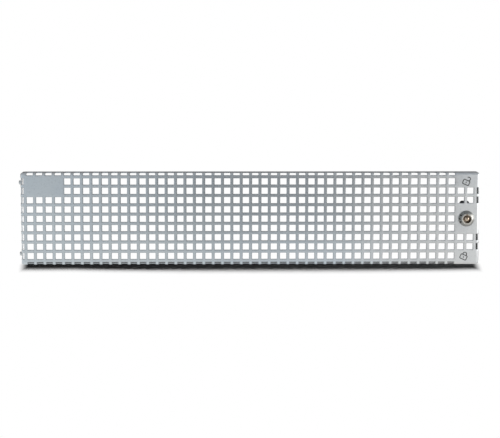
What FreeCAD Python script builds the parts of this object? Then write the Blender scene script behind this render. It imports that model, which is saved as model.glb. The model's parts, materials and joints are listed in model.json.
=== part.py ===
import FreeCAD
import Part

import math
import os

# Rack front grille: a folded tray of perforated sheet steel with two locating pins and a tubular cam lock.
# Millimetres. X runs to the right seen from the front, Y towards the back and Z up.
# The origin is the middle of the face that the grille stands on, under its bottom flange.

# Folded sheet
panel_width = 441.0
panel_height = 88.9
flange_depth = 14.0
sheet = 0.8
bend_radius = 2.2
neutral_share = 0.4
corner_seam = 0.4
seam_setback = 1.5

# Perforation, punched before the sheet is folded
hole_side = 6.0
hole_pitch = 9.0

# Fields that are left without holes
label_field_width = 40.5
label_field_height = 21.5
mark_field_width = 22.5
mark_field_height = 12.5
lock_field_width = 22.5
lock_field_height = 27.0

# Locating pins, welded to the left flange
pin_spacing = 69.0
pin_depth = 7.0
pin_diameter = 4.0
pin_reach = 2.0

# Lock, key side
lock_inset = 12.5
collar_height = 5.5
collar_rim = 1.0
collar_overhang = 1.7
collar_slope = 2.6
post_diameter = 5.4
post_setback = 0.3
keyway_gap = 1.1
keyway_depth = 7.5
notch_width = 1.7
notch_depth = 1.0

# Lock, barrel and its fixing behind the panel
barrel_wall = 2.2
barrel_flat_depth = 0.7
barrel_fit = 0.15
nut_thickness = 3.0
nut_wall = 2.0

# Lock, turning plug and cam
running_clearance = 0.08
end_play = 0.1
plug_disc_thickness = 2.0
tail_diameter = 4.6
tail_flat_depth = 0.6
cam_gap = 0.5
cam_thickness = 1.5
cam_width = 9.4
cam_throw = 3.2
cam_corner = 2.5
cam_nut_thickness = 2.4
cam_nut_wall = 1.6
thread_end = 0.8

# Values that follow from the sizes above
front = -flange_depth / 2
rear = flange_depth / 2
half_width = panel_width / 2
half_height = panel_height / 2
bend_length = math.radians(90) * (bend_radius - (1 - neutral_share) * sheet)
fold_facet = bend_radius * (2 - math.sqrt(2))
inner_facet = (bend_radius - sheet) * (2 - math.sqrt(2))
columns = int((panel_width - 2 * bend_radius) / hole_pitch)
rows = int((panel_height - 2 * bend_radius) / hole_pitch)
column_places = [(k - (columns - 1) / 2) * hole_pitch for k in range(columns)]
row_places = [(k - (rows - 1) / 2) * hole_pitch for k in range(rows)]
fold_column = (columns + 1) / 2 * hole_pitch
fold_row = (rows + 1) / 2 * hole_pitch
pin_heights = {"upper": pin_spacing / 2, "lower": -pin_spacing / 2}
lock_x = half_width - lock_inset
post_radius = post_diameter / 2
keyway_radius = post_radius + keyway_gap
barrel_radius = keyway_radius + barrel_wall
barrel_half_flats = barrel_radius - barrel_flat_depth
collar_radius = barrel_radius + collar_overhang
tail_radius = tail_diameter / 2
tail_half_flats = tail_radius - tail_flat_depth
keyway_end = keyway_depth - collar_height
plug_disc_end = keyway_end + plug_disc_thickness
plug_seat = plug_disc_end + end_play
nut_end = sheet + nut_thickness
barrel_length = flange_depth
cam_start = barrel_length + cam_gap
cam_end = cam_start + cam_thickness
cam_reach = lock_inset + cam_throw
cam_nut_end = cam_end + cam_nut_thickness

# How far a cutting tool runs past the face that it cuts through
overcut = 0.5

V = FreeCAD.Vector
AXIS = V(0, 1, 0)


def block(x_low, x_high, y_low, y_high, z_low, z_high):
    """Block between two corners."""
    return Part.makeBox(x_high - x_low, y_high - y_low, z_high - z_low, V(x_low, y_low, z_low))


def rod(radius, start, end):
    """Round bar on the lock's axis between two depths behind the panel's front face."""
    return Part.makeCylinder(radius, end - start, V(0, start, 0), AXIS)


def turned(corners):
    """Solid turned about the lock's axis from (radius, depth) corners."""
    outline = [V(radius, depth, 0) for radius, depth in corners]
    return Part.Face(Part.makePolygon(outline + outline[:1])).revolve(V(0, 0, 0), AXIS, 360)


def flatted_rod(radius, half_flats, start, end):
    """Round bar with a flat on its left and on its right."""
    return rod(radius, start, end).common(block(-half_flats, half_flats, start, end, -radius, radius))


def hexagon(half_flats, start, end):
    """Six-sided bar with corners at the top and bottom, so that flats face the side flange."""
    corner = half_flats / math.cos(math.radians(30))
    turns = [math.radians(60 * k) for k in range(7)]
    outline = [V(corner * math.sin(turn), start, corner * math.cos(turn)) for turn in turns]
    return Part.Face(Part.makePolygon(outline)).extrude(V(0, end - start, 0))


def is_punched(x, z):
    """Whether the flat sheet has a hole here. Places are measured from the middle of the panel."""
    beyond = hole_pitch
    right = half_width + beyond
    top = half_height + beyond
    mark_left = half_width - mark_field_width
    mark_bottom = half_height - mark_field_height
    fields = (
        (bend_radius - half_width, label_field_width - half_width,
         half_height - label_field_height, half_height - bend_radius),
        (mark_left, right, mark_bottom, top),
        (mark_left, right, -top, -mark_bottom),
        (half_width - lock_field_width, right, -lock_field_height / 2, lock_field_height / 2),
    )
    return not any(
        x_low < x < x_high and z_low < z < z_high for x_low, x_high, z_low, z_high in fields
    )


def fold_hole_depth(centre, half_size):
    """How far back a hole reaches that was punched flat across the fold at half_size."""
    past_bend = centre + hole_side / 2 - (half_size - bend_radius) - bend_length
    return bend_radius + past_bend


def face_holes():
    """Tools for the holes that lie flat in the front face."""
    half = hole_side / 2
    start = front - overcut
    end = front + sheet + overcut
    places = [(x, z) for x in column_places for z in row_places if is_punched(x, z)]
    return [block(x - half, x + half, start, end, z - half, z + half) for x, z in places]


def fold_holes():
    """Tools for the holes that run over a fold, from the front face on to the flange."""
    half = hole_side / 2
    start = front - overcut
    tools = []
    for side in (-1, 1):
        near = fold_column - half
        far = half_width + overcut
        end = front + fold_hole_depth(fold_column, half_width)
        low, high = sorted((side * near, side * far))
        heights = [z for z in row_places if is_punched(side * fold_column, z)]
        tools += [block(low, high, start, end, z - half, z + half) for z in heights]
        near = fold_row - half
        far = half_height + overcut
        end = front + fold_hole_depth(fold_row, half_height)
        low, high = sorted((side * near, side * far))
        places = [x for x in column_places if is_punched(x, side * fold_row)]
        tools += [block(x - half, x + half, start, end, low, high) for x in places]
    return tools


def corner_seams():
    """Tools for the narrow gaps where the top and bottom flanges end beside the side flanges."""
    outer = half_width - bend_radius
    inner = outer - corner_seam
    start = front + bend_radius + seam_setback
    far = half_height + overcut
    near = half_height - sheet - overcut
    tools = []
    for low, high in ((inner, outer), (-outer, -inner)):
        for bottom, top in ((near, far), (-far, -near)):
            tools.append(block(low, high, start, rear + overcut, bottom, top))
    return tools


def folded_block(inset, end, facet):
    """Block of the tray's size less an inset, with a flat facet on each front edge and each corner edge."""
    x, z = half_width - inset, half_height - inset
    solid = block(-x, x, front + inset, end, -z, z)
    return solid.makeChamfer(facet, [e for e in solid.Edges if min(v.Y for v in e.Vertexes) < 0])


def grille_panel():
    """One perforated sheet folded back along all four edges.

    Each fold is drawn as a flat facet that touches its round, because a hundred holes run over it.
    """
    tray = folded_block(0, rear, fold_facet)
    inside = folded_block(sheet, rear + overcut, inner_facet)
    lock_hole = flatted_rod(
        barrel_radius + barrel_fit, barrel_half_flats + barrel_fit, -overcut, sheet + overcut
    )
    lock_hole.translate(V(lock_x, front, 0))
    panel = tray.cut([inside, lock_hole] + face_holes() + fold_holes() + corner_seams())
    panel.translate(V(0, 0, half_height))
    return panel


def locating_pin(height):
    """Short pin that stands out of the left flange and enters a hole in the rack's bracket."""
    foot = V(-half_width, front + pin_depth, half_height + height)
    return Part.makeCylinder(pin_diameter / 2, pin_reach, foot, V(-1, 0, 0))


def key_notch():
    """Tool for the notch at the top of the keyway, which cuts into the collar and into the post."""
    half = notch_width / 2
    bottom = post_radius - notch_depth
    top = keyway_radius + notch_depth
    return block(-half, half, -collar_height - overcut, keyway_end, bottom, top)


def lock_body():
    """Fixed housing: a sloped collar on the front of the panel and a barrel with two flats behind it."""
    collar = turned([
        (0, 0), (collar_radius, 0), (collar_radius, -collar_rim),
        (collar_radius - collar_slope, -collar_height), (0, -collar_height),
    ])
    barrel = flatted_rod(barrel_radius, barrel_half_flats, 0, barrel_length)
    keyway = rod(keyway_radius, -collar_height - overcut, plug_seat)
    tail_hole = rod(tail_radius + running_clearance, 0, barrel_length + overcut)
    return collar.fuse(barrel).cut([keyway, tail_hole, key_notch()])


def lock_plug():
    """Turning plug: the post that the key fits over, the disc behind the keyway and the cam's tail."""
    disc_radius = keyway_radius - running_clearance
    plug = turned([
        (0, post_setback - collar_height), (post_radius, post_setback - collar_height),
        (post_radius, keyway_end), (disc_radius, keyway_end), (disc_radius, plug_disc_end),
        (tail_radius, plug_disc_end), (tail_radius, cam_start), (0, cam_start),
    ])
    cam_seat = flatted_rod(tail_radius, tail_half_flats, cam_start, cam_end)
    thread = rod(tail_half_flats, cam_end, cam_nut_end + thread_end)
    return plug.fuse([cam_seat, thread]).cut(key_notch())


def mounting_nut():
    """Thin six-sided nut on the barrel, tight against the back of the panel."""
    nut = hexagon(barrel_radius + nut_wall, sheet, nut_end)
    return nut.cut(rod(barrel_radius, sheet - overcut, nut_end + overcut))


def lock_cam():
    """Flat cam that points up when the lock is open and turns to the right behind the side flange."""
    half = cam_width / 2
    arm = block(-half, half, cam_start, cam_end, 0, cam_reach)
    tip_edges = [e for e in arm.Edges if e.BoundBox.ZMin > half and e.BoundBox.XLength < half]
    cam = arm.makeFillet(cam_corner, tip_edges).fuse(rod(half, cam_start, cam_end)).removeSplitter()
    return cam.cut(flatted_rod(tail_radius, tail_half_flats, cam_start - overcut, cam_end + overcut))


def cam_nut():
    """Small six-sided nut that holds the cam on the plug's tail."""
    nut = hexagon(tail_half_flats + cam_nut_wall, cam_end, cam_nut_end)
    return nut.cut(rod(tail_half_flats, cam_end - overcut, cam_nut_end + overcut))


def main():
    os.makedirs("parts", exist_ok=True)
    pieces = {"grille_panel": grille_panel()}
    for place, height in pin_heights.items():
        pieces["locating_pin_" + place] = locating_pin(height)
    for make in (lock_body, lock_plug, mounting_nut, lock_cam, cam_nut):
        piece = make()
        piece.translate(V(lock_x, front, half_height))
        pieces[make.__name__] = piece
    for name, piece in pieces.items():
        piece.exportStep("parts/" + name + ".step")


main()
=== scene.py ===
import json
import math

import bmesh
import bpy
import numpy as np
from mathutils import Matrix, Vector

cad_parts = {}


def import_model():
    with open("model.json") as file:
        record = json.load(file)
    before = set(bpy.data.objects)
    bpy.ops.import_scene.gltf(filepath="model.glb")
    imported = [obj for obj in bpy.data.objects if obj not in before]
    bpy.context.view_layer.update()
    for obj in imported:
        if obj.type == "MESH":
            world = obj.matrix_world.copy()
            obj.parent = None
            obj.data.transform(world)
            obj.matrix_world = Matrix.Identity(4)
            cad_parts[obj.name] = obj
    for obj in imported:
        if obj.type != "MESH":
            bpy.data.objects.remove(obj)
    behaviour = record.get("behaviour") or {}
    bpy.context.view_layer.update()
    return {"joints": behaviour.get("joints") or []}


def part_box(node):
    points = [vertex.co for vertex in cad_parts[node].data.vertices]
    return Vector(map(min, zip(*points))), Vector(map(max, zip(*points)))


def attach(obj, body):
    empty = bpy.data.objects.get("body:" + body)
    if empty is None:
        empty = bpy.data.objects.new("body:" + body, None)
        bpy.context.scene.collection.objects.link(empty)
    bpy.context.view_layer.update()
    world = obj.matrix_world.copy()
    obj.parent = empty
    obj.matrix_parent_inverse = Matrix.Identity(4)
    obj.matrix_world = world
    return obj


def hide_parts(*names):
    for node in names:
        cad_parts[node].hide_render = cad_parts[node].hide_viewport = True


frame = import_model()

# The looks of a rack front grille: a punched and folded sheet of zinc-plated steel with a tubular key lock.
# Metres, in the frame of the solids: X to the right seen from the front, Y to the back and Z up.

MM = 0.001

# Folded sheet
sheet = 0.8 * MM
bend_radius = 2.2 * MM
neutral_share = 0.4
bend_steps = 8
corner_seam = 0.4 * MM
seam_setback = 1.5 * MM

# Punched holes, whose lips the punch rolls in a little
hole_side = 6.0 * MM
hole_pitch = 9.0 * MM
lip_width = 0.6 * MM
lip_depth = 0.1 * MM
lip_shares = np.array([0.0, 0.4, 1.0])

# Fields that are left without holes
label_field = (40.5 * MM, 21.5 * MM)
mark_field = (22.5 * MM, 12.5 * MM)
lock_field = (22.5 * MM, 27.0 * MM)

# Hole for the lock's barrel, with a flat on its left and on its right
barrel_fit = 0.15 * MM
barrel_hole_reach = 9.0 * MM
barrel_hole_lines = 5
barrel_hole_rings = 4

# Edges that are broken or rounded on the lock's pieces
small_edge = 0.12 * MM
collar_rim_edge = 0.35 * MM
collar_face_edge = 0.25 * MM
keyway_edge = 0.2 * MM
barrel_end_edge = 0.4 * MM
nut_hole_edge = 0.3 * MM
cam_edge = 0.18 * MM

# Lock body: collar on the front of the panel, bore of the keyway and barrel behind the panel
collar_rim = 1.0 * MM
collar_slope = 2.6 * MM
keyway_radius = 3.8 * MM
barrel_radius = 6.0 * MM
barrel_half_flats = 5.3 * MM
barrel_thread = 0.28 * MM
barrel_thread_pitch = 1.0 * MM
running_clearance = 0.08 * MM
plug_seat = 4.1 * MM
notch_half = 0.85 * MM
notch_depth = 1.0 * MM

# Three small dots sunk into the left of the collar's slope
dot_turns = np.radians([149.0, 181.0, 208.0])
dot_place = 0.42
dot_radius = 0.85 * MM
dot_depth = 0.4 * MM
dot_tint = 2

# Painted shade on the collar: on its slope, starting at this share where that meets the flat face, and on the
# flat face
slope_shade = 0.35
face_shade = 0.25

# Lock plug: post, disc behind the keyway and tail
post_radius = 2.7 * MM
post_dome = 1.1 * MM
groove_half = 0.28 * MM
groove_flare = 0.24
groove_depth = 0.7 * MM
groove_runout = 1.3
# Where the post's side takes the dark brown bore colour: brass tint, with painted shade deeper in the keyway
brass_and_shade_start = 0.2 * MM
brass_and_shade_fade = 1.0 * MM
keyway_end = 2.0 * MM
plug_disc_end = 4.0 * MM
tail_radius = 2.3 * MM
tail_half_flats = 1.7 * MM
tail_thread = 0.16 * MM
tail_thread_pitch = 0.6 * MM
tail_thread_start = 0.3 * MM

# Nuts, cam and pins
nut_face_share = 0.99
cam_corner = 2.5 * MM
pin_chamfer = 0.5 * MM
pin_shoulder_in = 0.2 * pin_chamfer
pin_shoulder_back = 0.5 * pin_chamfer

# Printed signs in the two right corners, placed in from the right edge and up from the middle
sign_size = 6.4 * MM
sign_stroke = 0.8 * MM
sign_tilt = math.radians(-24)
sign_thickness = 0.03 * MM
sign_sunk_share = 0.3
open_sign_place = (13.2 * MM, 35.0 * MM)
locked_sign_place = (14.7 * MM, -37.4 * MM)

# How finely round shapes are divided, and how points and faces join
collar_turns = 240
small_turns = 96
pin_turns = 64
half_circle_steps = 33
corner_steps = 9
dome_steps = 10
tail_steps = 44
slope_step = 0.17 * MM
thread_step = 0.14 * MM
coarse_step = 10 * MM
sign_corner_steps = 5
sign_bow_steps = 15
notch_wall_turn = 0.002
line_digits = 7
turn_digits = 6
same_point = 0.001 * MM
sharp_angle = math.radians(38)
nearly_zero = 1e-9

# Colours that several finishes use, the middle of a noise, and its range over which clouds drift
white = (1, 1, 1, 1)
black = (0, 0, 0, 1)
warm_light = (1, 0.96, 0.91, 1)
noise_middle = 0.5
cloud_range = (0.3, 0.7)

# Values that follow from the frame
panel_low, panel_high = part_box("grille_panel")
half_width = (panel_high.x - panel_low.x) / 2
half_height = (panel_high.z - panel_low.z) / 2
middle_height = (panel_high.z + panel_low.z) / 2
front = panel_low.y
flange_depth = panel_high.y - panel_low.y
flat_half_width = half_width - bend_radius
flat_half_height = half_height - bend_radius
bend_arc = bend_radius * math.pi / 2
neutral_arc = (bend_radius - (1 - neutral_share) * sheet) * math.pi / 2
flange_straight = flange_depth - bend_radius
lock_axis = Vector(frame["joints"][0]["pos_m"])
lock_foot = np.array([lock_axis.x, front, lock_axis.z])
cam_low, cam_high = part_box("lock_cam")
body_low, body_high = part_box("lock_body")
plug_low, plug_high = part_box("lock_plug")
collar_radius = (body_high.x - body_low.x) / 2
collar_height = front - body_low.y
collar_face = collar_radius - collar_slope
barrel_length = body_high.y - front
cam_start = cam_low.y - front
cam_end = cam_high.y - front
barrel_hole_radius = barrel_radius + barrel_fit
barrel_hole_half_flats = barrel_half_flats + barrel_fit


# Shader maths


class Term:
    """One value or colour in a finish. Arithmetic on terms and numbers adds Math nodes."""

    def __init__(self, finish, node, output):
        self.finish = finish
        self.node = node
        self.output = output

    def also(self, output):
        """Another output of the same node."""
        return Term(self.finish, self.node, output)

    def __add__(self, other):
        return self.finish.math("ADD", self, other)

    __radd__ = __add__

    def __sub__(self, other):
        return self.finish.math("SUBTRACT", self, other)

    def __rsub__(self, other):
        return self.finish.math("SUBTRACT", other, self)

    def __mul__(self, other):
        return self.finish.math("MULTIPLY", self, other)

    __rmul__ = __mul__


class Finish:
    """A node tree that is put together term by term, on a material or on the world."""

    def __init__(self, owner):
        self.owner = owner
        owner.use_nodes = True
        self.tree = owner.node_tree
        self.tree.nodes.clear()

    def node(self, kind, settings=None, sockets=None, output=0):
        """Adds one node, sets its settings first and its sockets next, and gives one of its outputs."""
        made = self.tree.nodes.new(kind)
        for name, value in (settings or {}).items():
            setattr(made, name, value)
        for name, value in (sockets or {}).items():
            if isinstance(value, Term):
                self.tree.links.new(value.node.outputs[value.output], made.inputs[name])
            else:
                made.inputs[name].default_value = value
        return Term(self, made, output)

    def math(self, operation, *values):
        return self.node("ShaderNodeMath", {"operation": operation}, dict(enumerate(values)))

    def smooth(self, value, low, high):
        """0 below low, 1 above high and an even ease between them."""
        settings = {"interpolation_type": "SMOOTHSTEP"}
        sockets = {"Value": value, "From Min": low, "From Max": high}
        return self.node("ShaderNodeMapRange", settings, sockets)

    def blend(self, share, first, second):
        """Colour between two colours."""
        settings = {"data_type": "RGBA"}
        return self.node("ShaderNodeMix", settings, {0: share, 6: first, 7: second}, 2)

    def clouds(self, cloud, first, second):
        """Colour that drifts between two tones with a noise."""
        return self.blend(self.smooth(cloud, *cloud_range), first, second)

    def place(self, centre=(0, 0, 0), scale=(1, 1, 1)):
        """Object coordinates about a centre, stretched by a scale on each axis."""
        here = self.node("ShaderNodeTexCoord", output="Object")
        shifted = self.node("ShaderNodeVectorMath", {"operation": "SUBTRACT"}, {0: here, 1: centre})
        return self.node("ShaderNodeVectorMath", {"operation": "MULTIPLY"}, {0: shifted, 1: scale})

    def noise(self, place, scale, detail=2.0):
        return self.node("ShaderNodeTexNoise", sockets={"Vector": place, "Scale": scale, "Detail": detail})

    def value(self, name):
        """A value that the mesh carries on its points."""
        return self.node("ShaderNodeAttribute", {"attribute_name": name}, output="Fac")

    def bump(self, height, strength, distance):
        sockets = {"Height": height, "Strength": strength, "Distance": distance}
        return self.node("ShaderNodeBump", sockets=sockets)

    def spread(self, path):
        """1 for light that has bounced off something matt, and 0 for the rest."""
        return self.math("MINIMUM", path.also("Diffuse Depth"), 1.0)

    def surface(self, sockets):
        """Ends a material in one Principled shader."""
        shader = self.node("ShaderNodeBsdfPrincipled", sockets=sockets)
        self.node("ShaderNodeOutputMaterial", sockets={"Surface": shader})
        return self.owner


def new_finish(name):
    return Finish(bpy.data.materials.new(name))


# Finishes


def plated_sheet():
    """Satin zinc plate on rolled steel: faint clouds, fine grain along X and specks, with painted shade at
    holes and inside.
    """
    f = new_finish("plated_sheet")
    grain_scale = (60, 2600, 2600)
    cloud_scale = 28.0
    fleck_scale = 760.0
    fleck_range = (0.5, 0.75)
    burnish_share = 0.3
    fleck_share = 0.16
    rim_shade_share = 0.8
    satin = 0.34
    grain_rough = 0.16
    cloud_rough = 0.08
    inside_smooth = 0.08
    grain = f.noise(f.place(scale=grain_scale), 1.0, 3.0)
    cloud = f.noise(f.place(), cloud_scale, 3.0)
    fleck = f.noise(f.place(), fleck_scale)
    rim_shade = f.value("rim_shade")
    inside = f.value("inside")
    cool = (0.575, 0.597, 0.616, 1)
    warm = (0.608, 0.626, 0.638, 1)
    burnished = (0.69, 0.695, 0.695, 1)
    speck_and_shade = (0.22, 0.23, 0.24, 1)
    inside_shade = (0.4, 0.41, 0.42, 1)
    colour = f.clouds(cloud, cool, warm)
    colour = f.blend((grain - noise_middle) * burnish_share, colour, burnished)
    # Random specks, and painted shade as a dark ring round each hole's rolled lip, share one dark colour
    colour = f.blend(f.smooth(fleck, *fleck_range) * fleck_share + rim_shade * rim_shade_share, colour, speck_and_shade)
    # Painted shade: the inside of the tray takes a darker colour
    colour = f.blend(inside, colour, inside_shade)
    rough = satin + (grain - noise_middle) * grain_rough
    rough = rough + (cloud - noise_middle) * cloud_rough - inside * inside_smooth
    return f.surface({
        "Base Color": colour, "Metallic": 1.0, "Roughness": rough,
        "Normal": f.bump(grain, strength=0.12, distance=0.02 * MM),
    })


def small_steel(name, dark, light, roughness):
    """Plate on small steel pieces: clouds of two tones and a fine pitted surface."""
    f = new_finish(name)
    cloud_scale = 240.0
    pit_scale = 2200.0
    cloud_rough = 0.12
    pit_rough = 0.06
    cloud = f.noise(f.place(), cloud_scale, 3.0)
    pits = f.noise(f.place(), pit_scale)
    rough = roughness + (cloud - noise_middle) * cloud_rough + pits * pit_rough
    return f.surface({
        "Base Color": f.clouds(cloud, dark, light), "Metallic": 1.0, "Roughness": rough,
        "Normal": f.bump(pits, strength=0.1, distance=0.02 * MM),
    })


def lock_nickel(name, dark, light, bore):
    """Turned nickel plate: fine rings about the lock's axis, painted shade on the collar, dark dots and a
    brown bore.
    """
    f = new_finish(name)
    ring_scale = 5200.0
    cloud_scale = 260.0
    shaded_nickel = (0.24, 0.24, 0.225, 1)
    dot_colour = (0.012, 0.012, 0.011, 1)
    shade_share = 0.6
    polished = 0.2
    ring_rough = 0.16
    dot_rough = 0.4
    across = f.place(lock_axis, (1, 0, 1))
    radius = f.node("ShaderNodeVectorMath", {"operation": "LENGTH"}, {0: across}, "Value")
    rings = f.node("ShaderNodeTexNoise", {"noise_dimensions": "1D"}, {"W": radius, "Scale": ring_scale})
    cloud = f.noise(f.place(), cloud_scale, 3.0)
    dot = f.value("dot")
    colour = f.clouds(cloud, dark, light)
    colour = f.blend(f.value("painted_shade") * shade_share, colour, shaded_nickel)
    colour = f.blend(f.value("bore"), colour, bore)
    colour = f.blend(dot, colour, dot_colour)
    return f.surface({
        "Base Color": colour, "Metallic": 1.0, "Roughness": polished + rings * ring_rough + dot * dot_rough,
        "Normal": f.bump(rings, strength=0.25, distance=0.03 * MM),
    })


def print_ink():
    """Thin dark print, a little worn through."""
    f = new_finish("print_ink")
    wear_scale = 900.0
    fresh = (0.035, 0.037, 0.04, 1)
    faded = (0.14, 0.145, 0.15, 1)
    wear_range = (0.45, 0.8)
    fresh_rough = 0.5
    wear_rough = 0.2
    brass_and_shade = f.noise(f.place(), wear_scale, 3.0)
    colour = f.blend(f.smooth(brass_and_shade, *wear_range), fresh, faded)
    return f.surface({"Base Color": colour, "Metallic": 0.0, "Roughness": fresh_rough + brass_and_shade * wear_rough})


# Meshes


def add_piece(name, points, faces, finish, body, values=None, weld=False):
    """Mesh object from arrays of points and four-sided faces, with values on its points, riding on a body.

    weld closes the poles of turned shapes: points in one place become one, and faces are turned outwards.
    """
    used, where = np.unique(faces, return_inverse=True)
    corners = where.reshape(faces.shape)
    mesh = bpy.data.meshes.new(name)
    mesh.vertices.add(len(used))
    mesh.vertices.foreach_set("co", points.reshape(-1, 3)[used].astype(np.float32).ravel())
    mesh.loops.add(corners.size)
    mesh.loops.foreach_set("vertex_index", corners.astype(np.int32).ravel())
    mesh.polygons.add(len(corners))
    mesh.polygons.foreach_set("loop_start", np.arange(0, corners.size, 4, dtype=np.int32))
    mesh.update(calc_edges=True)
    for title, each in (values or {}).items():
        attribute = mesh.attributes.new(title, "FLOAT", "POINT")
        attribute.data.foreach_set("value", each.ravel()[used].astype(np.float32))
    if weld:
        shape = bmesh.new()
        shape.from_mesh(mesh)
        bmesh.ops.remove_doubles(shape, verts=shape.verts, dist=same_point)
        bmesh.ops.recalc_face_normals(shape, faces=shape.faces)
        shape.to_mesh(mesh)
        shape.free()
    mesh.shade_smooth()
    mesh.set_sharp_from_angle(angle=sharp_angle)
    mesh.materials.append(finish)
    piece = bpy.data.objects.new(name, mesh)
    bpy.context.scene.collection.objects.link(piece)
    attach(piece, body)
    return piece


def walled(solid, count):
    """Faces of a wall over a grid: its outer side, its inner side and its edges round every opening.

    solid says which grid cells are there. Outer points come first and inner points follow, count of each.
    """
    number = np.arange(count).reshape(solid.shape[0] + 1, solid.shape[1] + 1)
    cells = np.stack([number[:-1, :-1], number[1:, :-1], number[1:, 1:], number[:-1, 1:]], -1)
    outer = cells[solid]
    inner = outer[:, ::-1] + count
    faces = [outer, inner]
    step_u = np.diff(np.pad(solid, ((1, 1), (0, 0))).astype(int), axis=0)
    step_v = np.diff(np.pad(solid, ((0, 0), (1, 1))).astype(int), axis=1)
    along_u = np.stack([number[:-1], number[1:], number[1:] + count, number[:-1] + count], -1)
    along_v = np.stack([number[:, :-1], number[:, :-1] + count, number[:, 1:] + count, number[:, 1:]], -1)
    faces += [along_u[step_v < 0], along_u[step_v > 0][:, ::-1]]
    faces += [along_v[step_u < 0], along_v[step_u > 0][:, ::-1]]
    return np.concatenate(faces)


def wrapped(rows, columns, closed):
    """Faces of a grid of rows that each close into a ring. closed also joins the last row to the first."""
    number = np.arange(rows * columns).reshape(rows, columns)
    first = number if closed else number[:-1]
    second = np.roll(number, -1, 0) if closed else number[1:]
    return np.stack([first, second, np.roll(second, -1, 1), np.roll(first, -1, 1)], -1).reshape(-1, 4)


def softened(corners, steps=4):
    """Outline through (radius, depth, cut) corners, each rounded from one cut before it to one cut after it.

    A round is the quadratic curve whose ends are the two cut points and whose middle handle is the corner.
    """
    corners = np.array(corners, float)
    point, cut = corners[:, :2], corners[:, 2:]
    before = np.roll(point, 1, 0) - point
    after = np.roll(point, -1, 0) - point
    start = point + before / np.linalg.norm(before, axis=1, keepdims=True) * cut
    end = point + after / np.linalg.norm(after, axis=1, keepdims=True) * cut
    t = np.linspace(0, 1, steps)[None, :, None]
    curve = start[:, None] * (1 - t) ** 2 + point[:, None] * 2 * t * (1 - t) + end[:, None] * t**2
    outline = curve.reshape(-1, 2)
    apart = np.linalg.norm(np.diff(outline, axis=0, prepend=outline[-1:] + 1), axis=1)
    return outline[apart > same_point]


def filled(outline, longest):
    """A closed outline with points added on each side, so that no side is longer than its own longest."""
    side = np.roll(outline, -1, 0) - outline
    count = np.maximum(np.ceil(np.linalg.norm(side, axis=1) / longest), 1).astype(int)
    which = np.repeat(np.arange(len(outline)), count)
    share = (np.arange(count.sum()) - np.repeat(np.cumsum(count) - count, count)) / count[which]
    return outline[which] + side[which] * share[:, None]


def spun(radius, depth, turn, foot, along=(0, 1, 0), across=(1, 0, 0)):
    """Points of a turned surface: foot, plus depth along its axis, plus radius round it at each turn."""
    up = np.cross(across, along)
    ring = np.cos(turn)[:, None] * np.array(across) + np.sin(turn)[:, None] * up
    return foot + depth[:, None, None] * np.array(along) + radius[..., None] * ring


def turns(count, *extra):
    """Angles round an axis, evenly spaced, with the extra ones that a shape needs."""
    even = np.linspace(-math.pi / 2, 3 * math.pi / 2, count, endpoint=False)
    return np.unique(np.round(np.concatenate([even, *extra]), turn_digits))


def flatted(half_flats, turn):
    """How far out two flats at the left and right let a round bar reach: half_flats / |cos(turn)|."""
    return half_flats / np.maximum(abs(np.cos(turn)), nearly_zero)


def threaded(depth, turn, pitch):
    """Height of a thread from 0 to 1: a triangle wave of depth, less one pitch for each whole turn."""
    share = (depth[:, None] / pitch - turn[None, :] / (2 * math.pi)) % 1
    return abs(2 * share - 1)


# Folded sheet


def hole_spans(flat_half):
    """Middles and edges of the holes across the unrolled sheet, with the two that run over the folds."""
    count = int(2 * flat_half / hole_pitch)
    middle = (np.arange(count + 2) - (count + 1) / 2) * hole_pitch
    low = middle - hole_side / 2
    high = middle + hole_side / 2
    past_bend = high[-1] - flat_half - neutral_arc
    high[-1] = flat_half + bend_arc + past_bend
    low[0] = -high[-1]
    return middle, low, high


def sheet_lines(low, high, flat_half, extra):
    """Grid lines across the unrolled sheet: hole edges with their lips, bends and rear edges."""
    lips = lip_shares * lip_width
    bend = flat_half + np.linspace(0, bend_arc, bend_steps + 1)
    rear = flat_half + bend_arc + flange_straight
    lines = [(low[:, None] - lips).ravel(), (high[:, None] + lips).ravel(), bend, -bend, [rear, -rear], extra]
    return np.unique(np.round(np.concatenate(lines), line_digits))


def punched(x, z):
    """Which places of the hole pattern have a hole, measured from the middle of the panel."""
    label = (x < label_field[0] - half_width) & (z > half_height - label_field[1])
    label &= (x > -flat_half_width) & (z < flat_half_height)
    mark = (x > half_width - mark_field[0]) & (abs(z) > half_height - mark_field[1])
    lock = (x > half_width - lock_field[0]) & (abs(z) < lock_field[1] / 2)
    corner = (abs(x) > flat_half_width) & (abs(z) > flat_half_height)
    return ~(label | mark | lock | corner)


def round_barrel_hole(u, v):
    """Draws the square rings of the grid about the lock in to a round hole with two flats."""
    p = u - lock_axis.x
    q = v - (lock_axis.z - middle_height)
    ring = np.maximum(abs(p), abs(q))
    near = np.maximum(ring, nearly_zero)
    angle = np.where(abs(p) >= abs(q), q / near * np.sign(p), 2 - p / near * np.sign(q)) * math.pi / 4
    side = np.where(abs(p) >= abs(q), np.sign(p), np.sign(q))
    round_p = np.clip(ring * np.cos(angle) * side, -barrel_hole_half_flats, barrel_hole_half_flats)
    round_q = ring * np.sin(angle) * side
    share = np.clip((barrel_hole_reach - ring) / (barrel_hole_reach - barrel_hole_radius), 0, 1)
    return u + (round_p - p) * share, v + (round_q - q) * share


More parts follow.
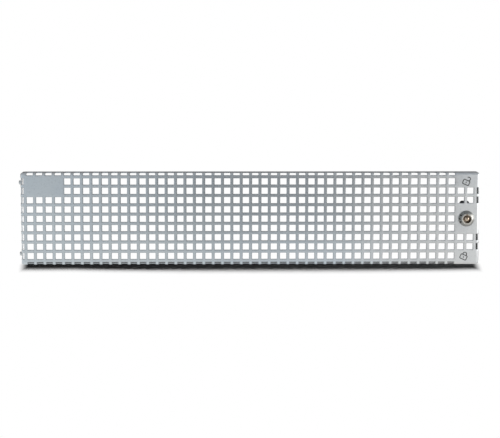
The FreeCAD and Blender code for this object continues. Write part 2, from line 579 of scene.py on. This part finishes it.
def folded(u, v, inset):
    """Where a point of the unrolled sheet lies once the sheet is folded, inset from its outer face.

    Past the flat part the sheet turns a quarter circle and then runs straight back. In a corner the larger of
    the two overshoots is the way over the fold, and their ratio is the way round the corner.
    """
    over_u = np.maximum(abs(u) - flat_half_width, 0)
    over_v = np.maximum(abs(v) - flat_half_height, 0)
    over = np.maximum(over_u, over_v)
    ratio = np.minimum(over_u, over_v) / np.maximum(over, nearly_zero)
    corner = np.where(over_u >= over_v, ratio, 2 - ratio) * math.pi / 4
    turn = np.minimum(over / bend_radius, math.pi / 2)
    reach = bend_radius - inset
    x = np.clip(u, -flat_half_width, flat_half_width) + np.sign(u) * reach * np.sin(turn) * np.cos(corner)
    z = np.clip(v, -flat_half_height, flat_half_height) + np.sign(v) * reach * np.sin(turn) * np.sin(corner)
    y = front + bend_radius - reach * np.cos(turn) + np.maximum(over - bend_arc, 0)
    return np.stack([x, y, z + middle_height], -1).reshape(-1, 3)


def grille_sheet(finish):
    """The punched sheet: a wall over the grid of the unrolled sheet, folded back along all four edges."""
    column, column_low, column_high = hole_spans(flat_half_width)
    row, row_low, row_high = hole_spans(flat_half_height)
    there = punched(column[:, None], row[None, :])
    seam_u = flat_half_width - corner_seam
    seam_v = flat_half_height + bend_arc + seam_setback
    rings = np.linspace(-barrel_hole_radius, barrel_hole_radius, 2 * barrel_hole_lines + 1)
    rings = np.concatenate([rings, np.linspace(barrel_hole_radius, barrel_hole_reach, barrel_hole_rings)])
    rings = np.concatenate([rings, -rings])
    extra_u = np.concatenate([[seam_u, -seam_u], rings + lock_axis.x])
    extra_v = np.concatenate([[seam_v, -seam_v], rings + lock_axis.z - middle_height])
    u = sheet_lines(column_low, column_high, flat_half_width, extra_u)
    v = sheet_lines(row_low, row_high, flat_half_height, extra_v)

    def nearest(lines, low, high):
        return np.searchsorted((high[:-1] + low[1:]) / 2, lines)

    def outside(lines, low, high):
        near = nearest(lines, low, high)
        return np.maximum(np.maximum(low[near] - lines, lines - high[near]), 0)

    mid_u = (u[:-1] + u[1:]) / 2
    mid_v = (v[:-1] + v[1:]) / 2
    in_u = outside(mid_u, column_low, column_high) == 0
    in_v = outside(mid_v, row_low, row_high) == 0
    cell_there = there[np.ix_(nearest(mid_u, column_low, column_high), nearest(mid_v, row_low, row_high))]
    solid = ~(in_u[:, None] & in_v[None, :] & cell_there)
    seam = (abs(mid_u) > seam_u) & (abs(mid_u) < flat_half_width)
    solid &= ~(seam[:, None] & (abs(mid_v) > seam_v)[None, :])
    barrel_u = abs(mid_u - lock_axis.x) < barrel_hole_radius
    barrel_v = abs(mid_v - lock_axis.z + middle_height) < barrel_hole_radius
    solid &= ~(barrel_u[:, None] & barrel_v[None, :])

    point_there = there[np.ix_(nearest(u, column_low, column_high), nearest(v, row_low, row_high))]
    apart = np.hypot(outside(u, column_low, column_high)[:, None], outside(v, row_low, row_high)[None, :])
    lip = np.where(point_there, 1 - np.clip(apart / lip_width, 0, 1), 0)
    # Painted shade: a dark ring along the middle of each hole's rolled lip
    rim_shade = lip * (1 - lip) * 4
    grid_u, grid_v = np.meshgrid(u, v, indexing="ij")
    grid_u, grid_v = round_barrel_hole(grid_u, grid_v)
    outer = folded(grid_u, grid_v, lip_depth * lip**2)
    inner = folded(grid_u, grid_v, sheet)
    faces = walled(solid, len(outer))
    points = np.concatenate([outer, inner])
    values = {
        "rim_shade": np.concatenate([rim_shade.ravel(), 0 * rim_shade.ravel()]),
        "inside": np.repeat([0.0, 1.0], len(outer)),
    }
    piece = add_piece("grille_sheet", points, faces, finish, "grille", values)
    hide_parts("grille_panel")


# Lock


def collar_and_barrel(finish):
    """Lock body: a closed outline of radius and depth, turned about the lock's axis.

    The key notch opens the bore to notch_half / |cos(turn)| at the top, the flats hold the barrel in, a
    thread is taken off the barrel, and each dot sinks the slope by its depth times
    (1 - (distance / radius)^2).
    """
    tail_bore = tail_radius + running_clearance
    outline = softened([
        (collar_radius, 0, small_edge), (collar_radius, -collar_rim, collar_rim_edge),
        (collar_face, -collar_height, collar_face_edge), (keyway_radius, -collar_height, keyway_edge),
        (keyway_radius, plug_seat, 0), (tail_bore, plug_seat, 0), (tail_bore, barrel_length, small_edge),
        (barrel_radius, barrel_length, barrel_end_edge), (barrel_radius, 0, 0),
    ])
    next_point = np.roll(outline, -1, 0)
    on_slope = (outline[:, 0] > next_point[:, 0]) & (next_point[:, 0] > collar_face - small_edge)
    on_barrel = (outline[:, 0] > barrel_radius - small_edge) & (outline[:, 1] > next_point[:, 1])
    on_barrel &= next_point[:, 1] > -small_edge
    longest = np.where(on_slope, slope_step, np.where(on_barrel, thread_step, coarse_step))
    radius, depth = filled(outline, longest).T
    notch = np.arccos(notch_half / np.array([keyway_radius, keyway_radius + notch_depth]))
    turn = turns(collar_turns, notch, math.pi - notch)
    opened = np.clip(flatted(notch_half, turn), keyway_radius, keyway_radius + notch_depth)
    opened = np.where(np.sin(turn) > 0, opened, keyway_radius)
    in_notch = (radius < collar_face) & (radius > keyway_radius - small_edge) & (depth < keyway_end)
    behind = (depth > small_edge) & (radius > keyway_radius + small_edge)
    thread = barrel_thread * threaded(depth, turn, barrel_thread_pitch)
    reach = np.repeat(radius[:, None], len(turn), 1)
    reach = np.where(in_notch[:, None], np.maximum(reach, opened), reach)
    reach = np.where(behind[:, None], np.minimum(reach, barrel_radius - thread), reach)
    reach = np.where(behind[:, None], np.minimum(reach, flatted(barrel_half_flats, turn)), reach)
    points = spun(reach, depth, turn, lock_foot)
    dot_reach = np.array([collar_radius - collar_slope * dot_place])
    dot_back = np.array([-collar_rim - (collar_height - collar_rim) * dot_place])
    dots = spun(np.repeat(dot_reach[:, None], len(dot_turns), 1), dot_back, dot_turns, lock_foot)[0]
    aside = points[:, :, None] - dots
    away = np.hypot(aside[..., 0], aside[..., 2]).min(-1) / dot_radius
    sunk = np.clip(1 - away**2, 0, 1) * (depth < 0)[:, None]
    points[..., 1] += sunk * dot_depth
    # The keyway's wall takes the dark brown bore colour: brown tint, with painted shade down the keyway
    bore = np.repeat(((radius < keyway_radius + small_edge) & (depth < plug_seat))[:, None], len(turn), 1)
    # Painted shade on the collar: darker down the slope towards its outer edge, and a little on the flat face
    down_slope = np.clip((reach - collar_face) / collar_slope + slope_shade, 0, 1) * (depth < 0)[:, None]
    painted_shade = np.where(reach > collar_face, down_slope, face_shade * (reach > keyway_radius))
    values = {"dot": np.clip(sunk * dot_tint, 0, 1), "bore": bore.astype(float), "painted_shade": painted_shade}
    faces = wrapped(len(radius), len(turn), True)
    piece = add_piece("lock_collar", points, faces, finish, "grille", values, weld=True)
    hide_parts("lock_body")


def plug_and_tail(finish):
    """Lock plug: an outline from the post's middle to the tail's end, turned about the lock's axis.

    The key notch holds the post in to its flat floor, at floor_height / sin(turn), and two flats seat the
    cam. A groove sinks the post's end from its middle up to the notch, and widens on the way by its flare
    times the height.
    """
    face = plug_low.y - front
    tail_end = plug_high.y - front
    disc_radius = keyway_radius - running_clearance
    tail_fine = np.linspace(cam_end, tail_end, tail_steps)
    dome = np.linspace(0, 1, dome_steps)
    outline = np.concatenate([
        np.stack([dome * post_radius, face + post_dome * dome**2], -1),
        [(post_radius, keyway_end), (disc_radius, keyway_end)],
        [(disc_radius, plug_disc_end), (tail_radius, plug_disc_end), (tail_radius, cam_start)],
        [(tail_radius, cam_start), (tail_radius, cam_end)],
        np.stack([np.full(len(tail_fine), tail_half_flats), tail_fine], -1),
        [(0, tail_end)],
    ])
    radius, depth = outline.T
    floor_height = post_radius - notch_depth
    edge_turn = math.acos(notch_half / post_radius)
    wall = np.array([0.0, notch_wall_turn])
    turn = turns(small_turns, edge_turn + wall, math.pi - edge_turn - wall)
    rise = np.sin(turn)
    in_notch = rise > math.sin(edge_turn + notch_wall_turn / 2)
    cut = np.where(in_notch, floor_height / np.maximum(rise, nearly_zero), np.inf)
    on_post = (depth < keyway_end + same_point) & (radius <= post_radius)
    first_seat = int(np.flatnonzero(depth >= cam_start - same_point)[0]) + 1
    seat = np.zeros(len(radius), bool)
    seat[first_seat:first_seat + 2] = True
    on_tail = (depth > cam_end + tail_thread_start) & (radius > 0)
    reach = np.repeat(radius[:, None], len(turn), 1)
    reach = np.where(on_post[:, None], np.minimum(reach, cut), reach)
    reach = np.where(seat[:, None], np.minimum(reach, flatted(tail_half_flats, turn)), reach)
    thread = tail_thread * threaded(depth, turn, tail_thread_pitch)
    reach = np.where(on_tail[:, None], reach - thread, reach)
    points = spun(reach, depth, turn, lock_foot)
    aside = abs(points[..., 0] - lock_axis.x)
    above = points[..., 2] - lock_axis.z
    width = groove_half + groove_flare * np.maximum(above, 0)
    groove = np.clip(groove_runout - aside / width, 0, 1) * np.clip(above / groove_half + 1, 0, 1)
    groove *= (depth <= face + post_dome + same_point)[:, None]
    points[..., 1] += groove * groove_depth
    # The post's side deeper in the keyway and the groove take the dark brown bore colour: brass tint, with
    # painted shade in the keyway and the groove
    brass_and_shade = (np.clip((depth - face - brass_and_shade_start) / brass_and_shade_fade, 0, 1) * (depth < keyway_end))[:, None]
    values = {"bore": np.maximum(brass_and_shade, groove)}
    faces = wrapped(len(radius), len(turn), False)
    piece = add_piece("lock_post", points, faces, finish, "lock_core", values, weld=True)
    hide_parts("lock_plug")


def hex_nut(name, node, body, hole, finish):
    """Six-sided nut between its node's faces: a closed outline turned about the lock's axis.

    The outline's radius is held in to half_flats / cos(turn from the nearest flat's middle), and the outline
    itself is chamfered, which leaves the rounded shoulders of a nut's corners.
    """
    low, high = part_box(node)
    half_flats = (high.x - low.x) / 2
    corner = half_flats / math.cos(math.pi / 6)
    shoulder = (corner - half_flats) * math.tan(math.pi / 6)
    start = low.y - front
    end = high.y - front
    nut_face = half_flats * nut_face_share
    radius, depth = softened([
        (hole, start, nut_hole_edge), (nut_face, start, 0), (corner, start + shoulder, 0),
        (corner, end - shoulder, 0), (nut_face, end, 0), (hole, end, nut_hole_edge),
    ]).T
    turn = turns(small_turns)
    from_flat = (turn + math.pi / 6) % (math.pi / 3) - math.pi / 6
    reach = np.minimum(radius[:, None], (half_flats / np.cos(from_flat))[None, :])
    points = spun(reach, depth, turn, lock_foot)
    faces = wrapped(len(radius), len(turn), True)
    piece = add_piece(name, points, faces, finish, body, weld=True)
    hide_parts(node)


def cam_plate(finish):
    """Lock cam: rings from its flatted hole out to its outline and back, with broken edges.

    The outline is a half circle below, straight sides and a tip with two round corners. The hole's points lie
    at the same angles, and the broken edge is the outline drawn in a little towards the axis.
    """
    half = (cam_high.x - cam_low.x) / 2
    inner = half - cam_corner
    top = cam_high.z - lock_axis.z - cam_corner
    below = np.linspace(math.pi, 2 * math.pi, half_circle_steps)
    corner = np.linspace(0, math.pi / 2, corner_steps)
    outline = np.concatenate([
        np.stack([half * np.cos(below), half * np.sin(below)], -1),
        np.stack([inner + cam_corner * np.cos(corner), top + cam_corner * np.sin(corner)], -1),
        np.stack([-inner - cam_corner * np.sin(corner), top + cam_corner * np.cos(corner)], -1),
    ])
    reach = np.linalg.norm(outline, axis=1)
    turn = np.arctan2(outline[:, 1], outline[:, 0])
    hole = np.minimum(tail_radius, flatted(tail_half_flats, turn))
    radius = np.stack([hole, reach - cam_edge, reach, reach, reach - cam_edge, hole])
    depth = np.array([cam_start, cam_start, cam_start + cam_edge, cam_end - cam_edge, cam_end, cam_end])
    points = spun(radius, depth, turn, lock_foot)
    faces = wrapped(len(depth), len(turn), True)
    piece = add_piece("cam_plate", points, faces, finish, "lock_core", weld=True)
    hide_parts("lock_cam")


# Locating pins


def locating_pin(place, finish):
    """Pin on the left flange: an outline of radius and length with a chamfered tip, turned about X."""
    node = "locating_pin_" + place
    low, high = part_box(node)
    length = high.x - low.x
    pin_radius = (high.z - low.z) / 2
    corners = [
        (0, 0), (pin_radius, 0), (pin_radius, length - pin_chamfer),
        (pin_radius - pin_shoulder_in, length - pin_shoulder_back), (pin_radius - pin_chamfer, length),
        (0, length),
    ]
    radius, depth = np.array(corners).T
    turn = turns(pin_turns)
    foot = np.array([high.x, (low.y + high.y) / 2, (low.z + high.z) / 2])
    reach = np.repeat(radius[:, None], len(turn), 1)
    points = spun(reach, depth, turn, foot, (-1, 0, 0), (0, 1, 0))
    faces = wrapped(len(radius), len(turn), False)
    piece = add_piece("pin_" + place, points, faces, finish, "grille", weld=True)
    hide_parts(node)


# Printed signs


def stroke(path, width, closed):
    """Points and faces of a printed line: a flat four-sided section carried along a path.

    The path's points are (across, up). Each section lies square to the way from the point before it to the
    point after it.
    """
    if closed:
        ahead = np.roll(path, -1, 0) - np.roll(path, 1, 0)
    else:
        ahead = np.gradient(path, axis=0)
    ahead /= np.linalg.norm(ahead, axis=1, keepdims=True)
    aside = np.stack([-ahead[:, 1], ahead[:, 0]], -1) * width / 2
    left = path + aside
    right = path - aside
    level = np.array([sign_sunk_share, -1.0, -1.0, sign_sunk_share]) * sign_thickness
    flat = np.stack([left, left, right, right], 1)
    raised = np.broadcast_to(level, flat.shape[:2])
    points = np.stack([flat[..., 0], raised + front, flat[..., 1]], -1).reshape(-1, 3)
    faces = wrapped(len(path), 4, closed)
    if not closed:
        last = (len(path) - 1) * 4
        caps = np.array([[3, 2, 1, 0], [last, last + 1, last + 2, last + 3]])
        faces = np.concatenate([faces, caps])
    return points, faces


def turned(angle):
    """Matrix that turns (across, up) points anticlockwise by an angle, where each point is a row."""
    return np.array([[math.cos(angle), math.sin(angle)], [-math.sin(angle), math.cos(angle)]])


def padlock_sign(name, place, opened, finish):
    """Small padlock in outline: a body with round corners, a bowed shackle and a keyhole, all tilted."""
    half_body = np.array([0.5, 0.34]) * sign_size
    body_corner = 0.12 * sign_size
    quarter = np.linspace(0, math.pi / 2, sign_corner_steps)
    arc = np.concatenate([quarter + k * math.pi / 2 for k in range(4)])
    side = np.repeat([[1, 1], [-1, 1], [-1, -1], [1, -1]], len(quarter), 0)
    body = side * (half_body - body_corner) + body_corner * np.stack([np.cos(arc), np.sin(arc)], -1)
    bow = np.linspace(0, math.pi, sign_bow_steps)
    shackle_half = 0.27 * sign_size
    rise = 0.16 * sign_size
    shackle = np.stack([shackle_half * np.cos(bow), half_body[1] + rise + shackle_half * np.sin(bow)], -1)
    feet = np.array([[shackle_half, half_body[1]], [-shackle_half, half_body[1]]])
    if opened:
        swing = math.radians(-32)
        hinge = feet[0]
        shackle = np.concatenate([feet[:1], (shackle - hinge) @ turned(swing) + hinge])
    else:
        shackle = np.concatenate([feet[:1], shackle, feet[1:]])
    keyhole = np.array([[0, 0.1], [0, -0.12]]) * sign_size
    centre = np.array([half_width - place[0], middle_height + place[1]])
    lines = [(body, True), (shackle, False), (keyhole, False)]
    made = [stroke(path @ turned(sign_tilt) + centre, sign_stroke, closed) for path, closed in lines]
    starts = np.cumsum([0] + [len(points) for points, _ in made])
    points = np.concatenate([each for each, _ in made])
    faces = np.concatenate([each + start for (_, each), start in zip(made, starts)])
    add_piece(name, points, faces, finish, "grille", weld=True)


# Stage


def flat_card(name, corners):
    """Object of one flat four-sided face."""
    mesh = bpy.data.meshes.new(name)
    mesh.from_pydata(corners, [], [(0, 1, 2, 3)])
    card = bpy.data.objects.new(name, mesh)
    bpy.context.scene.collection.objects.link(card)
    return card


def floor():
    """Wide white floor that keeps the grille's shadow.

    To the camera it glows white outside the shadow's bounds: a line ahead of the grille, which bows in with
    the square of the distance from its middle, a line behind the grille and one at each end. To reflections,
    the floor ahead is a blend of close and distant colours, bluish at the left, darker in the middle and warm
    at the right. Light that has bounced off something matt gets nothing from it.
    """
    half_floor = 30.0
    gap_below = 0.1 * MM
    corners = [(-half_floor, -half_floor, 0), (half_floor, -half_floor, 0)]
    corners += [(half_floor, half_floor, 0), (-half_floor, half_floor, 0)]
    piece = flat_card("floor", corners)
    piece.location.z = panel_low.z - gap_below
    f = new_finish("floor")
    here = f.node("ShaderNodeTexCoord", output="Object")
    x = f.node("ShaderNodeSeparateXYZ", sockets={0: here})
    y = x.also("Y")
    forward = front - y
    path = f.node("ShaderNodeLightPath", output="Is Camera Ray")
    spread = f.spread(path)
    reflected = (path.also("Is Glossy Ray") + path.also("Is Transmission Ray")) * (1 - spread)

    # Bounds of the shadow
    bow_middle = 0.03
    bow = 0.55
    most_bow = 21.5 * MM
    front_fade = (34 * MM, 78 * MM)
    back_fade = (flange_depth, flange_depth + 5 * MM)
    end_fade = (half_width - 6.5 * MM, half_width + 3 * MM)
    end_slant = 0.1
    from_middle = x - bow_middle
    bowed = f.math("MINIMUM", from_middle * from_middle * bow, most_bow)
    ahead = f.smooth(forward + bowed, *front_fade)
    behind = f.smooth(y - front, *back_fade)
    outward = f.math("ABSOLUTE", x) + f.math("MAXIMUM", forward, 0.0) * end_slant
    beside = f.smooth(outward, *end_fade)
    clear = f.math("MAXIMUM", f.math("MAXIMUM", ahead, behind), beside)

    # What the metal mirrors of the floor ahead
    close_left = (0.92, 0.98, 1, 1)
    close_middle = (0.82, 0.89, 0.94, 1)
    close_right = (1, 0.98, 0.95, 1)
    close_left_end = (-0.08, 0.02)
    close_right_start = (0.06, 0.2)
    close = f.blend(f.smooth(x, *close_left_end), close_left, close_middle)
    close = f.blend(f.smooth(x, *close_right_start), close, close_right)
    distant_left = (0.84, 0.93, 1, 1)
    distant_middle = (0.135, 0.148, 0.158, 1)
    distant_left_end = (-0.225, -0.05)
    distant_right_start = (0.12, 0.25)
    right_fade = (0.38, 0.72)
    right_fade_share = 0.95
    right = f.smooth(x, *distant_right_start) * (1 - f.smooth(forward, *right_fade) * right_fade_share)
    distant = f.blend(f.smooth(x, *distant_left_end), distant_left, distant_middle)
    distant = f.blend(right, distant, warm_light)
    close_to_distant = (30 * MM, 480 * MM)
    mirror_start = (-7 * MM, -1 * MM)
    seen = f.blend(f.smooth(forward, *close_to_distant), close, distant)
    mirrored = f.smooth(forward, *mirror_start) * reflected

    # What the lamp lights: white paper, and behind the grille light at the left and dark at the right
    paper = (0.92, 0.92, 0.92, 1)
    light_behind = (0.9, 0.9, 0.9, 1)
    dark_behind = (0.04, 0.04, 0.04, 1)
    light_end = (-0.12, 0.0)
    shaded = f.blend(f.smooth(x, *light_end), light_behind, dark_behind)
    lit_colour = f.blend(behind, paper, shaded)
    lit_colour = f.blend(spread, lit_colour, black)
    lit = f.node("ShaderNodeBsdfDiffuse", sockets={"Color": lit_colour})
    glow = f.node("ShaderNodeEmission", sockets={"Color": f.blend(reflected, white, seen), "Strength": 1.0})
    mixed = f.node("ShaderNodeMixShader", sockets={0: clear * path + mirrored, 1: lit, 2: glow})
    f.node("ShaderNodeOutputMaterial", sockets={"Surface": mixed})
    piece.data.materials.append(f.owner)


def world():
    """Studio round the grille: warm at the right, bluish at the left, dim ahead and lighter further up.

    It is white along the horizon, as the floor is. It isn't sampled as a lamp, and light that has bounced off
    something matt gets only a small share of it, so the shadow on the floor stays dark.
    """
    made = bpy.data.worlds.new("studio")
    made.cycles.sampling_method = "NONE"
    bpy.context.scene.world = made
    f = Finish(made)
    here = f.node("ShaderNodeTexCoord", output="Generated")
    x = f.node("ShaderNodeSeparateXYZ", sockets={0: here})
    y = x.also("Y")
    z = x.also("Z")
    path = f.node("ShaderNodeLightPath", output="Is Camera Ray")
    shown = path + path.also("Is Glossy Ray") + path.also("Is Transmission Ray")
    dim_back = (0.06, 0.062, 0.065, 1)
    high_back = (0.4, 0.405, 0.41, 1)
    dim_ahead = (0.145, 0.16, 0.173, 1)
    high_ahead = (0.57, 0.6, 0.63, 1)
    bluish_left = (0.82, 0.93, 1, 1)
    horizon = (0.018, 0.03)
    ahead_range = (-0.2, 0.3)
    left_range = (-0.02, 0.32)
    right_range = (0.1, 0.6)
    right_back_range = (0.35, 0.75)
    back_rise = (0.15, 0.4)
    ahead_rise = (0.12, 0.4)
    kept_from_matt = 0.975
    ahead = f.smooth(0 - y, *ahead_range)
    left = f.smooth(0 - x, *left_range) * ahead
    right = f.smooth(x, *right_range) * (1 - f.smooth(y, *right_back_range))
    back = f.blend(f.smooth(z, *back_rise), dim_back, high_back)
    colour = f.blend(ahead, back, dim_ahead)
    colour = f.blend(left, colour, bluish_left)
    colour = f.blend(right, colour, warm_light)
    colour = f.blend(f.smooth(z, *ahead_rise) * ahead, colour, high_ahead)
    colour = f.blend((1 - f.smooth(z, *horizon)) * shown, colour, white)
    colour = f.blend(f.spread(path) * kept_from_matt, colour, black)
    shade = f.node("ShaderNodeBackground", sockets={"Color": colour, "Strength": 1.0})
    f.node("ShaderNodeOutputWorld", sockets={"Surface": shade})


def soft_light(name, shape, place, aim, size, power):
    """Area lamp that the camera doesn't see, turned towards a point."""
    lamp = bpy.data.lights.new(name, "AREA")
    lamp.shape = shape
    lamp.size = size[0]
    lamp.size_y = size[1]
    lamp.energy = power
    made = bpy.data.objects.new(name, lamp)
    made.location = place
    made.rotation_euler = (Vector(aim) - Vector(place)).to_track_quat("-Z", "Y").to_euler()
    made.visible_camera = False
    bpy.context.scene.collection.objects.link(made)
    return made


def lights():
    """A soft lamp above and behind, for the floor and its shadow, and a low one that right edges mirror."""
    back_place = (0, 0.53, 1.05)
    back_aim = (0, -0.05, 0)
    back = soft_light("back", "ELLIPSE", back_place, back_aim, size=(0.25, 0.55), power=21.5)
    back.visible_glossy = False
    side_place = (0.41, -0.3, 0.085)
    side_aim = (0.2, -0.3, 0.085)
    side = soft_light("side", "RECTANGLE", side_place, side_aim, size=(1.2, 0.16), power=1.3)
    side.visible_diffuse = False


def shadow_card():
    """Card in the tray that only stops light, so that the floor ahead of the holes lies in even shadow."""
    depth = front + flange_depth / 2
    corners = [(-half_width, depth, panel_low.z), (half_width, depth, panel_low.z)]
    corners += [(half_width, depth, panel_high.z), (-half_width, depth, panel_high.z)]
    card = flat_card("shadow_card", corners)
    card.visible_camera = False
    card.visible_diffuse = False
    card.visible_glossy = False
    card.visible_transmission = False


def camera():
    """The photograph's viewing angle: a long lens a little left of the middle, looking slightly down."""
    picture_width = 500
    focal_pixels = 1650
    film_width = 36.0
    aside = -27.96 * MM
    away = 1575.6 * MM
    above = 185.47 * MM
    heading = math.radians(0.997)
    dip = math.radians(6.722)
    roll = math.radians(0.06)
    lens = bpy.data.cameras.new("camera")
    lens.sensor_width = film_width
    lens.lens = focal_pixels / picture_width * film_width
    made = bpy.data.objects.new("camera", lens)
    place = Matrix.Translation((aside, front - away, middle_height + above))
    turn = Matrix.Rotation(-heading, 4, "Z") @ Matrix.Rotation(math.pi / 2 - dip, 4, "X")
    made.matrix_world = place @ turn @ Matrix.Rotation(roll, 4, "Z")
    bpy.context.scene.collection.objects.link(made)
    bpy.context.scene.camera = made


steel = small_steel(
    "plated_steel", dark=(0.44, 0.45, 0.46, 1), light=(0.58, 0.58, 0.57, 1), roughness=0.24,
)
# Near-black steel for the cam: painted shade, as the cam lies in shade behind the panel
shaded_cam_steel = small_steel(
    "blackened_steel", dark=(0.05, 0.05, 0.055, 1), light=(0.1, 0.1, 0.105, 1), roughness=0.36,
)
nickel = lock_nickel(
    "lock_nickel", dark=(0.5, 0.49, 0.46, 1), light=(0.6, 0.585, 0.55, 1), bore=(0.12, 0.075, 0.045, 1),
)
worn_nickel = lock_nickel(
    "worn_nickel", dark=(0.5, 0.42, 0.33, 1), light=(0.62, 0.54, 0.44, 1), bore=(0.2, 0.12, 0.07, 1),
)
ink = print_ink()

grille_sheet(plated_sheet())
locating_pin("upper", steel)
locating_pin("lower", steel)
collar_and_barrel(nickel)
plug_and_tail(worn_nickel)
hex_nut("barrel_nut", "mounting_nut", "grille", barrel_radius, steel)
cam_plate(shaded_cam_steel)
hex_nut("tail_nut", "cam_nut", "lock_core", tail_half_flats, steel)
padlock_sign("sign_open", open_sign_place, True, ink)
padlock_sign("sign_locked", locked_sign_place, False, ink)
floor()
world()
lights()
shadow_card()
camera()
bpy.context.scene.view_settings.view_transform = "Standard"
